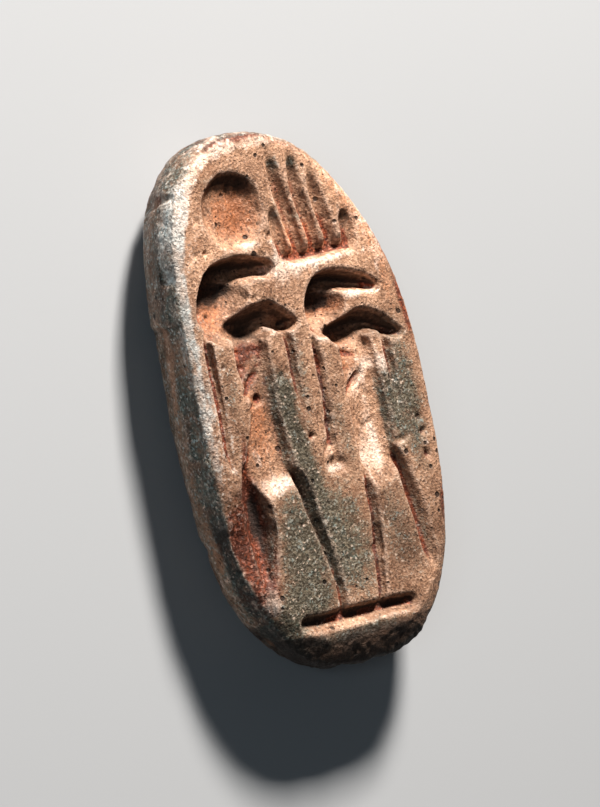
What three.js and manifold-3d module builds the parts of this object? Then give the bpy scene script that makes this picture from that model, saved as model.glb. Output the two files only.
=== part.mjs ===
// Stamp seal amulet: a long oval plaque of glazed paste, carved on its face and bored through its length.
// Millimetres. +Z is the carved face, +Y the end with the disc, and the plaque lies on its back at z = 0.
import * as THREE from "three";
import { mergeVertices } from "three/addons/utils/BufferGeometryUtils.js";
import Module from "manifold-3d";

const wasm = await Module();
wasm.setup();

// The plaque
const LENGTH = 21;
const WIDTH = 11.7;
const THICKNESS = 3.6;
const HEAD_ROUNDNESS = 2.28;
const FOOT_ROUNDNESS = 2.77;
const HEAD_LEAN = -0.07 * LENGTH;
const FOOT_LEAN = 0.017 * LENGTH;
const OUTLINE_STEPS = 96;

// The worn edge round the face, broader at the foot end
const EDGE_RUN = 0.38;
const EDGE_DROP = 0.26;
const FOOT_EDGE_RUN = 1.0;
const FOOT_EDGE_DROP = 0.6;
const FOOT_EDGE_SPREAD = 6;

// The upright side, and the domed back under it with the flat spot that it rests on
const SIDE_HEIGHT = 1.1;
const BACK_HEIGHT = THICKNESS - SIDE_HEIGHT;
const BACK_INSET = 2.6;
const BACK_STEPS = 5;

// The carving: the deepest cut, how far the cutting solids stand over the face, and their finish
const CARVING_DEPTH = 1.05;
const CUT_OVERSHOOT = 0.5;
const CUT_STEPS = 3;
const CUT_FLOOR_SHARE = 0.45;
const CUT_TIP_SHARE = 0.3;

// The hole for a cord, through the length under the deepest cut
const BORE_DIAMETER = 1.24;
const BORE_MOUTH_DIAMETER = 1.8;
const BORE_MOUTH_DEPTH = 0.5;
const BORE_COVER = 0.25;
const BORE_HEIGHT = THICKNESS - CARVING_DEPTH - BORE_COVER - BORE_DIAMETER / 2;
const BORE_HEAD_X = 0.2;
const BORE_FOOT_X = 1.6;
const BORE_SIDES = 16;

// The disc: a round hollow
const DISC_X = -0.188 * WIDTH;
const DISC_Y = 0.362 * LENGTH;
const DISC_DIAMETER = 2.85;
const DISC_DEPTH = 0.64;
const HOLLOW_SIDES = 28;

// The fan: slanting flutes, from tops given as shares of the width and length, down to one sill
const FLUTE_DEPTH = 0.42;
const FLUTE_WIDTH = 0.6;
const FLUTE_LEAN = -0.3;
const FLUTE_TOPS = [
  [-0.024, 0.35],
  [-0.002, 0.445],
  [0.085, 0.436],
  [0.167, 0.402],
  [0.278, 0.314],
];
const FLUTE_TAPER_SHARE = 0.3;
const SILL_LEFT_X = -0.004 * WIDTH;
const SILL_RIGHT_X = 0.286 * WIDTH;
const SILL_Y = 0.255 * LENGTH;
const SILL_LEAN = -0.3;

// The two figures: how tall and broad each is, and where its feet stand
const LEFT_FIGURE = {
  height: 0.669 * LENGTH,
  breadth: 0.427 * WIDTH,
  x: -0.256 * WIDTH,
  y: -0.386 * LENGTH,
};
const RIGHT_FIGURE = {
  height: 0.612 * LENGTH,
  breadth: 0.391 * WIDTH,
  x: 0.175 * WIDTH,
  y: -0.395 * LENGTH,
};

// The ground line under the feet
const GROUND_LEFT = { x: -0.265 * WIDTH, y: -0.396 * LENGTH };
const GROUND_RIGHT = { x: 0.239 * WIDTH, y: -0.415 * LENGTH };
const GROUND_WIDTH = 0.58;
const GROUND_DEPTH = 0.42;
const GROUND_LEAN = 0.4;
const GROUND_TAPER_SHARE = 0.1;

// The cuts that are alike on both figures. Each station is a share of the breadth across from the figure's
// axis, of the height up from its feet, of the breadth for its half width, of the deepest cut, and of the
// half width for its floor's lean.
const SHARED_CUTS = {
  crease: [
    [-0.11, 0.623, 0.014, 0.45, 0],
    [-0.02, 0.645, 0.024, 0.56, 0],
    [0.06, 0.67, 0.024, 0.6, 0],
    [0.13, 0.677, 0.014, 0.45, 0],
  ],
  spine: [
    [-0.35, 0.81, 0.016, 0.3, 0],
    [-0.355, 0.74, 0.03, 0.52, 0.2],
    [-0.36, 0.66, 0.026, 0.46, 0.2],
    [-0.374, 0.577, 0.022, 0.4, 0.2],
    [-0.38, 0.506, 0.02, 0.36, 0],
    [-0.365, 0.44, 0.016, 0.15, 0],
  ],
  arm: [
    [0.43, 0.79, 0.03, 0.55, -0.2],
    [0.435, 0.719, 0.028, 0.48, -0.2],
    [0.43, 0.633, 0.022, 0.38, 0],
    [0.44, 0.54, 0.014, 0.12, 0],
  ],
};

// The cuts of the head, the lap and the legs, which differ between the two, in the same shares
const LEFT_CUTS = {
  crown: [
    [-0.285, 0.83, 0.12, 0.85, 0.3],
    [-0.2, 0.88, 0.17, 1, 0.3],
    [-0.08, 0.926, 0.175, 1, 0.4],
    [0.1, 0.95, 0.125, 1, 0.3],
    [0.22, 0.955, 0.08, 0.95, 0.1],
    [0.33, 0.948, 0.064, 0.85, 0],
    [0.42, 0.936, 0.045, 0.55, 0],
  ],
  cheek: [
    [-0.04, 0.933, 0.19, 1, -0.1],
    [-0.08, 0.89, 0.22, 1, -0.2],
    [-0.14, 0.855, 0.22, 0.88, -0.3],
    [-0.2, 0.819, 0.17, 0.68, -0.4],
    [-0.25, 0.787, 0.11, 0.4, -0.4],
  ],
  chin: [
    [-0.18, 0.812, 0.016, 0.28, 0],
    [-0.06, 0.806, 0.088, 0.8, 0.1],
    [0.08, 0.804, 0.13, 0.98, -0.1],
    [0.2, 0.813, 0.128, 0.98, -0.3],
    [0.32, 0.823, 0.09, 0.88, -0.4],
    [0.43, 0.796, 0.084, 0.76, -0.3],
    [0.54, 0.783, 0.03, 0.5, 0],
  ],
  body: [
    [0.05, 0.79, 0.13, 0.75, 0],
    [0.05, 0.75, 0.155, 0.52, 0],
    [0.05, 0.69, 0.16, 0.36, 0],
    [0.065, 0.63, 0.135, 0.32, 0],
    [0.065, 0.59, 0.12, 0.3, 0],
    [0.04, 0.534, 0.155, 0.34, 0],
    [0.005, 0.448, 0.215, 0.38, 0],
    [-0.01, 0.391, 0.23, 0.36, 0],
    [0.01, 0.349, 0.2, 0.05, 0],
  ],
  shin: [
    [0.19, 0.41, 0.02, 0.3, 0],
    [0.265, 0.356, 0.045, 0.52, -0.1],
    [0.32, 0.28, 0.046, 0.55, -0.2],
    [0.365, 0.2, 0.036, 0.5, -0.2],
    [0.415, 0.09, 0.026, 0.42, -0.1],
    [0.43, -0.014, 0.026, 0.42, 0],
  ],
  heel: [
    [-0.23, 0.442, 0.04, 0.33, 0.3],
    [-0.23, 0.385, 0.09, 0.6, 0.5],
    [-0.22, 0.32, 0.124, 0.8, 0.5],
    [-0.22, 0.235, 0.12, 0.78, 0.5],
    [-0.24, 0.171, 0.09, 0.55, 0.4],
    [-0.26, 0.121, 0.06, 0.2, 0.2],
  ],
};
const RIGHT_CUTS = {
  crown: [
    [-0.275, 0.865, 0.09, 0.65, 0.3],
    [-0.235, 0.91, 0.122, 0.95, 0.4],
    [-0.13, 0.94, 0.142, 1, 0.4],
    [0.033, 0.955, 0.104, 1, 0.3],
    [0.186, 0.949, 0.078, 0.95, 0.1],
    [0.318, 0.937, 0.062, 0.8, 0],
    [0.449, 0.918, 0.04, 0.5, 0],
  ],
  cheek: [
    [-0.13, 0.933, 0.19, 1, 0],
    [-0.15, 0.894, 0.2, 0.98, 0],
    [-0.2, 0.859, 0.17, 0.85, -0.2],
    [-0.28, 0.825, 0.1, 0.5, -0.3],
  ],
  chin: [
    [-0.196, 0.826, 0.02, 0.3, 0],
    [-0.076, 0.805, 0.092, 0.85, 0.1],
    [0.077, 0.806, 0.122, 1, -0.1],
    [0.23, 0.822, 0.11, 0.95, -0.3],
    [0.383, 0.81, 0.08, 0.75, -0.4],
    [0.514, 0.78, 0.064, 0.6, -0.3],
    [0.613, 0.757, 0.03, 0.3, 0],
  ],
  body: [
    [0.066, 0.795, 0.12, 0.65, 0],
    [0.088, 0.747, 0.17, 0.42, 0],
    [0.09, 0.692, 0.19, 0.27, 0],
    [0.088, 0.63, 0.195, 0.26, 0],
    [0.088, 0.552, 0.203, 0.3, 0],
    [0.088, 0.474, 0.208, 0.32, 0],
    [0.08, 0.404, 0.208, 0.27, 0],
    [0.06, 0.346, 0.16, 0.04, 0],
  ],
  shin: [
    [0.225, 0.46, 0.02, 0.24, 0],
    [0.305, 0.392, 0.044, 0.44, -0.2],
    [0.365, 0.316, 0.058, 0.46, -0.4],
    [0.41, 0.226, 0.07, 0.42, -0.5],
    [0.445, 0.12, 0.07, 0.34, -0.5],
    [0.455, 0.04, 0.05, 0.1, 0],
  ],
  heel: [
    [-0.09, 0.391, 0.022, 0.25, 0.2],
    [-0.085, 0.334, 0.036, 0.45, 0.2],
    [-0.09, 0.256, 0.036, 0.46, 0.2],
    [-0.117, 0.179, 0.042, 0.48, 0.2],
    [-0.16, 0.101, 0.036, 0.42, 0.2],
    [-0.212, -0.008, 0.028, 0.38, 0],
  ],
};

// The worn scoop at the lower left, where the rim has broken down to the body
const SCAR_X = -0.427 * WIDTH;
const SCAR_Y = -0.233 * LENGTH;
const SCAR_LENGTH = 4.4;
const SCAR_WIDTH = 2.2;
const SCAR_DEPTH = 0.42;

// A point of the outline at an angle, pulled in by an inset and leaning with its distance from the middle.
function outlinePoint(angle, inset) {
  const across = Math.cos(angle);
  const along = Math.sin(angle);
  const roundness = along > 0 ? HEAD_ROUNDNESS : FOOT_ROUNDNESS;
  const lean = along > 0 ? HEAD_LEAN : FOOT_LEAN;
  const widthTerm = Math.abs(across / (WIDTH / 2 - inset)) ** roundness;
  const lengthTerm = Math.abs(along / (LENGTH / 2 - inset)) ** roundness;
  const radius = (widthTerm + lengthTerm) ** (-1 / roundness);
  const y = radius * along;
  const shift = lean * (y / (LENGTH / 2)) ** 2;
  return new THREE.Vector2(radius * across + shift, y);
}

const outlineAngles = Array.from({ length: OUTLINE_STEPS }, (_, i) => (i / OUTLINE_STEPS) * 2 * Math.PI);
const outlineBox = new THREE.Box2().setFromPoints(outlineAngles.map((angle) => outlinePoint(angle, 0)));
const outlineCentre = outlineBox.getCenter(new THREE.Vector2());

// A closed geometry from rings of equally many points, with a flat fan over the first ring and the last.
function skin(rings) {
  const count = rings[0].length;
  const total = (ring) => ring.reduce((sum, point) => sum.add(point), new THREE.Vector3());
  const middle = (ring) => total(ring).divideScalar(count);
  const points = [...rings.flat(), middle(rings[0]), middle(rings.at(-1))];
  const firstCentre = points.length - 2;
  const lastCentre = points.length - 1;
  const lastStart = (rings.length - 1) * count;
  const index = [];
  for (let side = 0; side < count; side += 1) {
    const next = (side + 1) % count;
    index.push(firstCentre, next, side);
    index.push(lastCentre, lastStart + side, lastStart + next);
    for (let start = 0; start < lastStart; start += count) {
      index.push(start + side, start + next, start + count + next);
      index.push(start + side, start + count + next, start + count + side);
    }
  }
  return new THREE.BufferGeometry().setFromPoints(points).setIndex(index);
}

// A manifold solid of a closed geometry.
function solid(geometry) {
  const bare = geometry.clone();
  bare.deleteAttribute("normal");
  bare.deleteAttribute("uv");
  const merged = mergeVertices(bare);
  return new wasm.Manifold(
    new wasm.Mesh({
      numProp: 3,
      vertProperties: new Float32Array(merged.attributes.position.array),
      triVerts: new Uint32Array(merged.index.array),
    }),
  );
}

// How far the worn edge has spread to its foot-end size, from 0 at the middle to 1 at the foot.
const footShare = (angle) => Math.max(0, -Math.sin(angle)) ** FOOT_EDGE_SPREAD;

// The uncarved plaque: flat spot, domed back, upright side and worn edge.
function blank() {
  const ring = (insetAt, heightAt) =>
    outlineAngles.map((angle) => {
      const point = outlinePoint(angle, insetAt(angle));
      return new THREE.Vector3(point.x, point.y, heightAt(angle));
    });
  const rings = [];
  for (let step = 0; step <= BACK_STEPS; step += 1) {
    const turn = (step / BACK_STEPS) * (Math.PI / 2);
    const inset = BACK_INSET * (1 - Math.sin(turn));
    const height = BACK_HEIGHT * (1 - Math.cos(turn));
    rings.push(ring(() => inset, () => height));
  }
  const edgeRun = (angle) => THREE.MathUtils.lerp(EDGE_RUN, FOOT_EDGE_RUN, footShare(angle));
  const edgeDrop = (angle) => THREE.MathUtils.lerp(EDGE_DROP, FOOT_EDGE_DROP, footShare(angle));
  rings.push(ring(() => 0, (angle) => THICKNESS - edgeDrop(angle)));
  rings.push(ring(edgeRun, () => THICKNESS));
  return solid(skin(rings));
}

// A cut along a curve through stations [x, y, half width, depth, lean]. Its section has two walls and a
// narrow floor, which the lean moves towards the left of the way it runs.
function cut(stations) {
  const places = stations.map(([x, y]) => new THREE.Vector3(x, y, 0));
  const sections = stations.map(([, , half, depth, lean]) => new THREE.Vector3(half, depth, lean));
  const route = new THREE.CatmullRomCurve3(places);
  const sizes = new THREE.CatmullRomCurve3(sections);
  const steps = (stations.length - 1) * CUT_STEPS;
  const top = THICKNESS + CUT_OVERSHOOT;
  const rings = [];
  for (let step = 0; step <= steps; step += 1) {
    const along = step / steps;
    const point = route.getPoint(along);
    const tangent = route.getTangent(along);
    const { x: half, y: depth, z: lean } = sizes.getPoint(along);
    const floorHalf = CUT_FLOOR_SHARE * (1 - Math.abs(lean));
    const section = [
      [-1, top],
      [-1, THICKNESS],
      [lean - floorHalf, THICKNESS - depth],
      [lean + floorHalf, THICKNESS - depth],
      [1, THICKNESS],
      [1, top],
    ];
    const left = new THREE.Vector3(-tangent.y, tangent.x, 0).multiplyScalar(half);
    rings.push(section.map(([share, z]) => point.clone().addScaledVector(left, share).setZ(z)));
  }
  return solid(skin(rings));
}

// A figure's cuts, from shares of its breadth and height to millimetres.
function figure({ height, breadth, x, y }, ownCuts) {
  return [...Object.values(SHARED_CUTS), ...Object.values(ownCuts)].map((shares) =>
    cut(
      shares.map(([across, up, half, depth, lean]) => [
        x + across * breadth,
        y + up * height,
        half * breadth,
        depth * CARVING_DEPTH,
        lean,
      ]),
    ),
  );
}

// The fan's flutes, each from its pointed top to the sill, and the sill across their feet.
function fan() {
  const last = FLUTE_TOPS.length - 1;
  const flutes = FLUTE_TOPS.map(([across, along], i) => {
    const topX = across * WIDTH;
    const topY = along * LENGTH;
    const footX = THREE.MathUtils.lerp(SILL_LEFT_X, SILL_RIGHT_X, i / last);
    const shoulderX = THREE.MathUtils.lerp(topX, footX, FLUTE_TAPER_SHARE);
    const shoulderY = THREE.MathUtils.lerp(topY, SILL_Y, FLUTE_TAPER_SHARE);
    return cut([
      [topX, topY, (FLUTE_WIDTH / 2) * CUT_TIP_SHARE, FLUTE_DEPTH * CUT_TIP_SHARE, 0],
      [shoulderX, shoulderY, FLUTE_WIDTH / 2, FLUTE_DEPTH, FLUTE_LEAN],
      [footX, SILL_Y, FLUTE_WIDTH / 2, FLUTE_DEPTH, FLUTE_LEAN],
    ]);
  });
  const sill = cut([
    [SILL_LEFT_X, SILL_Y, FLUTE_WIDTH / 2, FLUTE_DEPTH, SILL_LEAN],
    [SILL_RIGHT_X, SILL_Y, FLUTE_WIDTH / 2, FLUTE_DEPTH, SILL_LEAN],
  ]);
  return [...flutes, sill];
}

// The ground line, full size but for its two tips.
function groundLine() {
  const station = (along, fullness) => [
    THREE.MathUtils.lerp(GROUND_LEFT.x, GROUND_RIGHT.x, along),
    THREE.MathUtils.lerp(GROUND_LEFT.y, GROUND_RIGHT.y, along),
    (GROUND_WIDTH / 2) * fullness,
    GROUND_DEPTH * fullness,
    GROUND_LEAN,
  ];
  return cut([
    station(0, CUT_TIP_SHARE),
    station(GROUND_TAPER_SHARE, 1),
    station(1 - GROUND_TAPER_SHARE, 1),
    station(1, CUT_TIP_SHARE),
  ]);
}

// A round or oval hollow: the cap of an ellipsoid that meets the face in the given width and length.
function hollow(x, y, width, length, depth) {
  const ball = new THREE.SphereGeometry(1, HOLLOW_SIDES, HOLLOW_SIDES / 2);
  ball.rotateX(Math.PI / 2);
  ball.scale(width / 2, length / 2, depth);
  ball.translate(x, y, THICKNESS);
  return solid(ball);
}

// The bore, with a flared mouth at each end, leaning as the plaque does.
function bore() {
  const half = LENGTH / 2 + CUT_OVERSHOOT;
  const radius = BORE_DIAMETER / 2;
  const mouthRadius = BORE_MOUTH_DIAMETER / 2;
  const throat = LENGTH / 2 - BORE_MOUTH_DEPTH;
  const profile = [
    [0, -half],
    [mouthRadius, -half],
    [mouthRadius, -LENGTH / 2],
    [radius, -throat],
    [radius, throat],
    [mouthRadius, LENGTH / 2],
    [mouthRadius, half],
    [0, half],
  ];
  const tool = new THREE.LatheGeometry(
    profile.map(([r, y]) => new THREE.Vector2(r, y)),
    BORE_SIDES,
  );
  tool.rotateZ(Math.atan2(BORE_FOOT_X - BORE_HEAD_X, LENGTH));
  tool.translate((BORE_HEAD_X + BORE_FOOT_X) / 2, 0, BORE_HEIGHT);
  return solid(tool);
}

function carvedPlaque() {
  const cutters = [
    hollow(DISC_X, DISC_Y, DISC_DIAMETER, DISC_DIAMETER, DISC_DEPTH),
    hollow(SCAR_X, SCAR_Y, SCAR_WIDTH, SCAR_LENGTH, SCAR_DEPTH),
    ...fan(),
    ...figure(LEFT_FIGURE, LEFT_CUTS),
    ...figure(RIGHT_FIGURE, RIGHT_CUTS),
    groundLine(),
    bore(),
  ];
  return cutters.reduce((body, cutter) => body.subtract(cutter), blank());
}

// A three.js geometry of a manifold solid, centred on the outline.
function geometryOf(body) {
  const mesh = body.getMesh();
  const geometry = new THREE.BufferGeometry();
  geometry.setAttribute("position", new THREE.BufferAttribute(mesh.vertProperties, mesh.numProp));
  geometry.setIndex(new THREE.BufferAttribute(mesh.triVerts, 1));
  geometry.translate(-outlineCentre.x, -outlineCentre.y, 0);
  geometry.computeVertexNormals();
  return geometry;
}

const amulet = new THREE.Mesh(
  geometryOf(carvedPlaque()),
  new THREE.MeshStandardMaterial({ color: "#94806a", roughness: 0.62, metalness: 0, flatShading: true }),
);
amulet.name = "seal_amulet";

const part = new THREE.Group();
part.add(amulet);

export default part;
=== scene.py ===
"""Stamp seal amulet of glazed paste, lying on its back with the carved face up.

The body is shaped in millimetres in the part's own frame, then scaled to metres: +Z is the carved face and
+Y the end with the disc. The coarse body is pressed into the face's carving, evened out and weathered.
"""

import logging
import math
from collections.abc import Callable
from dataclasses import dataclass, field
from enum import Enum

import bmesh
import bpy
import numpy as np
from mathutils import Matrix, Vector

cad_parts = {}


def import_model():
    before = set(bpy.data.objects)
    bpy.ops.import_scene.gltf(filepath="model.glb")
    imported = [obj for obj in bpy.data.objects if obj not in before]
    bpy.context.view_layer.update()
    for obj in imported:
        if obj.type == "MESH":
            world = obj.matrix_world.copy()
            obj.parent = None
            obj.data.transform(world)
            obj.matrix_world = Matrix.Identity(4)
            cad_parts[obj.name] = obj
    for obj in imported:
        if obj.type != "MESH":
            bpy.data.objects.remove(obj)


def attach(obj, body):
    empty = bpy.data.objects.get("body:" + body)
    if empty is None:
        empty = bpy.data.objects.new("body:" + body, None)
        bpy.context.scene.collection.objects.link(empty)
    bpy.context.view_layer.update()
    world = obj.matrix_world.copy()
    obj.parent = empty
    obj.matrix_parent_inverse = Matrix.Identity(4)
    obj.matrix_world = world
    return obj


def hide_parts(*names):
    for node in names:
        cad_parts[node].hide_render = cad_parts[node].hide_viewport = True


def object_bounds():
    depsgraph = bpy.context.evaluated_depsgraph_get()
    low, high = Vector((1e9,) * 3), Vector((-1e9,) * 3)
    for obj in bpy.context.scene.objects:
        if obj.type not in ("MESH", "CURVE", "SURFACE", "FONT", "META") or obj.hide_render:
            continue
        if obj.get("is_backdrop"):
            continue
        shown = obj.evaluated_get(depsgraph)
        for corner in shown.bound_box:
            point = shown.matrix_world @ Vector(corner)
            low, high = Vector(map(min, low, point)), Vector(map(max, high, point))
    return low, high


LOG = logging.getLogger("seal_amulet")
MILLIMETRE = 0.001
LATTICE = 32


def soft_noise(points: np.ndarray, size: float, seed: int) -> np.ndarray:
    """Give smooth seeded noise at points.

    Args:
        points: Places in millimetres, with x, y and z on the last axis.
        size: Width of one swell in millimetres.
        seed: Which noise it is.

    Returns:
        Values from -1 to 1, one for each point.
    """
    table = np.random.default_rng(seed).uniform(-1, 1, (LATTICE,) * 3)
    place = points / size + 16 * LATTICE
    cell = np.floor(place).astype(int)
    part = place - cell
    part = part * part * (3 - 2 * part)
    total = np.zeros(points.shape[:-1])
    for corner in np.ndindex(2, 2, 2):
        weight = np.prod(np.where(corner, part, 1 - part), axis=-1)
        spot = (cell + np.array(corner)) % LATTICE
        total += weight * table[spot[..., 0], spot[..., 1], spot[..., 2]]
    return total


def smooth_step(values: np.ndarray, low: float, high: float) -> np.ndarray:
    """Rise smoothly from 0 at low to 1 at high.

    Args:
        values: The numbers to grade.
        low: Where the result is 0.
        high: Where the result is 1.

    Returns:
        The graded numbers.
    """
    share = np.clip((values - low) / (high - low), 0, 1)
    return share * share * (3 - 2 * share)


@dataclass(frozen=True)
class Plaque:
    """Sizes of the uncarved plaque, in millimetres."""

    length: float = 21.0
    width: float = 11.7
    thickness: float = 3.6
    head_roundness: float = 2.28
    foot_roundness: float = 2.77
    head_lean: float = -1.47
    foot_lean: float = 0.357
    edge_run: float = 0.38
    edge_drop: float = 0.26
    foot_edge_run: float = 1.0
    foot_edge_drop: float = 0.6
    foot_edge_spread: float = 6.0
    side_height: float = 1.1
    back_inset: float = 2.6
    back_steps: int = 5
    outline_steps: int = 96
    bore_radius: float = 0.62
    bore_mouth_radius: float = 0.9
    bore_mouth_depth: float = 0.5
    bore_height: float = 1.68
    bore_head_x: float = 0.2
    bore_foot_x: float = 1.6

    def outline_point(self, angle: float, inset: float) -> tuple[float, float]:
        """Give a point of the outline.

        Args:
            angle: Direction from the middle, in radians.
            inset: How far inside the outline it lies.

        Returns:
            Its x and y.
        """
        across, along = math.cos(angle), math.sin(angle)
        roundness = self.head_roundness if along > 0 else self.foot_roundness
        lean = self.head_lean if along > 0 else self.foot_lean
        terms = abs(across / (self.width / 2 - inset)) ** roundness + abs(along / (self.length / 2 - inset)) ** roundness
        radius = terms ** (-1 / roundness)
        y = radius * along
        return radius * across + lean * (y / (self.length / 2)) ** 2, y

    def reach(self, points: np.ndarray) -> np.ndarray:
        """Tell how near the outline points lie.

        Args:
            points: Places as rows.

        Returns:
            0 in the middle and 1 on the outline, for each point.
        """
        along = points[:, 1] / (self.length / 2)
        lean = np.where(along > 0, self.head_lean, self.foot_lean)
        roundness = np.where(along > 0, self.head_roundness, self.foot_roundness)
        across = (points[:, 0] - lean * along**2) / (self.width / 2)
        return (np.abs(across) ** roundness + np.abs(along) ** roundness) ** (1 / roundness)

    def centre(self) -> Vector:
        """Give the middle of the outline's box."""
        turns = np.arange(self.outline_steps) / self.outline_steps * 2 * math.pi
        points = np.array([self.outline_point(turn, 0) for turn in turns])
        middle = (points.min(axis=0) + points.max(axis=0)) / 2
        return Vector((middle[0], middle[1], 0))

    def foot_share(self, angle: float) -> float:
        """Tell how far the worn edge has spread to its foot-end size."""
        return max(0.0, -math.sin(angle)) ** self.foot_edge_spread

    def ring(self, level: int, angle: float) -> Vector:
        """Give a point of one of the rings that the blank is built from.

        Args:
            level: Which ring, from the resting spot up to the face.
            angle: Direction from the middle, in radians.

        Returns:
            The point.
        """
        share = self.foot_share(angle)
        run = self.edge_run + (self.foot_edge_run - self.edge_run) * share
        drop = self.edge_drop + (self.foot_edge_drop - self.edge_drop) * share
        if level <= self.back_steps:
            turn = level / self.back_steps * math.pi / 2
            inset = self.back_inset * (1 - math.sin(turn))
            height = (self.thickness - self.side_height) * (1 - math.cos(turn))
        elif level == self.back_steps + 1:
            inset, height = 0.0, self.thickness - drop
        else:
            inset, height = run, self.thickness
        x, y = self.outline_point(angle, inset)
        return Vector((x, y, height))


class CutMode(Enum):
    """How a stroke joins what is carved already."""

    SINK = "the deepest cut wins"
    DEEPEN = "the cut goes down from the floor that is there"


@dataclass(frozen=True)
class Stroke:
    """One carved cut along a curve.

    Its stations are rows of x, y, half width, depth and the lean of the floor to the left of the way it runs.
    """

    stations: tuple[tuple[float, ...], ...]
    mode: CutMode = CutMode.SINK
    floor_share: float = 0.45
    wall_curve: float = 1.5
    end_softness: float = 0.1
    steps: int = 8

    def path(self) -> np.ndarray:
        """Give closely spaced rows along the smooth curve through the stations."""
        rows = np.array(self.stations, float)
        padded = np.vstack([2 * rows[0] - rows[1], rows, 2 * rows[-1] - rows[-2]])
        shares = np.arange(self.steps) / self.steps
        pieces = []
        for before, start, end, after in zip(padded, padded[1:], padded[2:], padded[3:]):
            for share in shares:
                bend = 2 * start + (end - before) * share
                bend = bend + (2 * before - 5 * start + 4 * end - after) * share**2
                bend = bend + (3 * start - before - 3 * end + after) * share**3
                pieces.append(bend / 2)
        pieces.append(rows[-1])
        path = np.array(pieces)
        path[:, 2] = np.maximum(path[:, 2], 0.02)
        path[:, 3] = np.maximum(path[:, 3], 0.0)
        path[:, 4] = np.clip(path[:, 4], -0.7, 0.7)
        return path


@dataclass
class Relief:
    """The carved face as a map of depths under the flat face, in millimetres."""

    step: float = 0.04
    half_width: float = 7.0
    half_length: float = 10.9
    wander: float = 0.05
    seed: int = 11
    x: np.ndarray = field(init=False)
    y: np.ndarray = field(init=False)
    places: np.ndarray = field(init=False)
    wander_x: np.ndarray = field(init=False)
    wander_y: np.ndarray = field(init=False)
    depth: np.ndarray = field(init=False)

    def __post_init__(self) -> None:
        """Lay out the map, with hand-cut wander in the places that strokes are measured from."""
        across = np.arange(-self.half_width, self.half_width, self.step)
        along = np.arange(-self.half_length, self.half_length, self.step)
        self.x, self.y = np.meshgrid(across, along, indexing="ij")
        self.places = np.stack([self.x, self.y, np.zeros_like(self.x)], axis=-1)
        broad = [soft_noise(self.places, 1.1, self.seed + i) for i in range(2)]
        fine = [soft_noise(self.places, 0.28, self.seed + 2 + i) for i in range(2)]
        self.wander_x = self.x + self.wander * (broad[0] + 0.4 * fine[0])
        self.wander_y = self.y + self.wander * (broad[1] + 0.4 * fine[1])
        self.depth = np.zeros_like(self.x)

    def window(self, low: np.ndarray, high: np.ndarray) -> tuple[slice, slice]:
        """Give the part of the map between two corners."""
        first = ((low[0] + self.half_width) / self.step, (low[1] + self.half_length) / self.step)
        last = ((high[0] + self.half_width) / self.step, (high[1] + self.half_length) / self.step)
        return (
            slice(max(0, int(first[0])), max(1, int(last[0]) + 2)),
            slice(max(0, int(first[1])), max(1, int(last[1]) + 2)),
        )

    def press(self, stroke: Stroke) -> None:
        """Carve one stroke into the map.

        Args:
            stroke: The cut.
        """
        path = stroke.path()
        nearest = np.full(self.x.shape, np.inf)
        carved = np.zeros_like(self.x)
        last = len(path) - 2
        for i, (start, end) in enumerate(zip(path[:-1], path[1:])):
            run = end[:2] - start[:2]
            span = float(run @ run)
            if span < 1e-8:
                continue
            reach = max(start[2], end[2]) + 0.2
            view = self.window(np.minimum(start, end)[:2] - reach, np.maximum(start, end)[:2] + reach)
            px = self.wander_x[view] - start[0]
            py = self.wander_y[view] - start[1]
            share = (px * run[0] + py * run[1]) / span
            held = np.clip(share, 0, 1)
            distance = np.hypot(px - held * run[0], py - held * run[1])
            side = np.sign(run[0] * py - run[1] * px) * distance
            half = start[2] + (end[2] - start[2]) * held
            depth = start[3] + (end[3] - start[3]) * held
            lean = start[4] + (end[4] - start[4]) * held
            offset = side / half
            floor_half = stroke.floor_share * (1 - np.abs(lean))
            left = (1 - offset) / (1 - lean - floor_half)
            right = (1 + offset) / (1 + lean - floor_half)
            fullness = np.clip(np.minimum(left, right), 0, 1)
            beyond = np.zeros_like(share)
            if i == 0:
                beyond = np.maximum(beyond, -share)
            if i == last:
                beyond = np.maximum(beyond, share - 1)
            beyond = beyond * math.sqrt(span)
            fade = 1 - np.clip(beyond / stroke.end_softness, 0, 1)
            value = depth * (1 - (1 - fullness) ** stroke.wall_curve) * fade
            nearer = distance < nearest[view]
            nearest[view][nearer] = distance[nearer]
            carved[view][nearer] = value[nearer]
        if stroke.mode is CutMode.SINK:
            self.depth = np.maximum(self.depth, carved)
        else:
            self.depth = self.depth + carved

    def bowl(self, x: float, y: float, radii: tuple[float, float], depth: float, power: float, tip: float = 0.0) -> None:
        """Carve an oval hollow.

        Args:
            x: Where its middle is across.
            y: Where its middle is along.
            radii: Half its width and half its length.
            depth: Depth in the middle.
            power: Steepness of its wall; 2 is a plain bowl.
            tip: How much deeper the end towards the disc end is, as a share.
        """
        across = (self.wander_x - x) / radii[0]
        along = (self.wander_y - y) / radii[1]
        distance = np.hypot(across, along)
        hollow = depth * (1 + tip * along) * np.clip(1 - distance**power, 0, None)
        self.depth = np.maximum(self.depth, hollow)

    def pit(self, x: float, y: float, radius: float, depth: float) -> None:
        """Sink a small round pore into whatever floor is there."""
        distance = np.hypot(self.x - x, self.y - y) / radius
        self.depth = self.depth + depth * np.clip(1 - distance**2, 0, None)

    def soften(self, spread: float) -> None:
        """Round the map's edges off.

        Args:
            spread: Width of the rounding, in millimetres.
        """
        self.depth = self.softened(spread)

    def softened(self, spread: float) -> np.ndarray:
        """Give the map with its edges rounded off by a spread in millimetres."""
        reach = max(1, int(3 * spread / self.step))
        offsets = np.arange(-reach, reach + 1)
        weights = np.exp(-0.5 * (offsets * self.step / spread) ** 2)
        weights /= weights.sum()
        result = self.depth
        for axis in (0, 1):
            result = sum(w * np.roll(result, o, axis=axis) for w, o in zip(weights, offsets))
        return result

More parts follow.
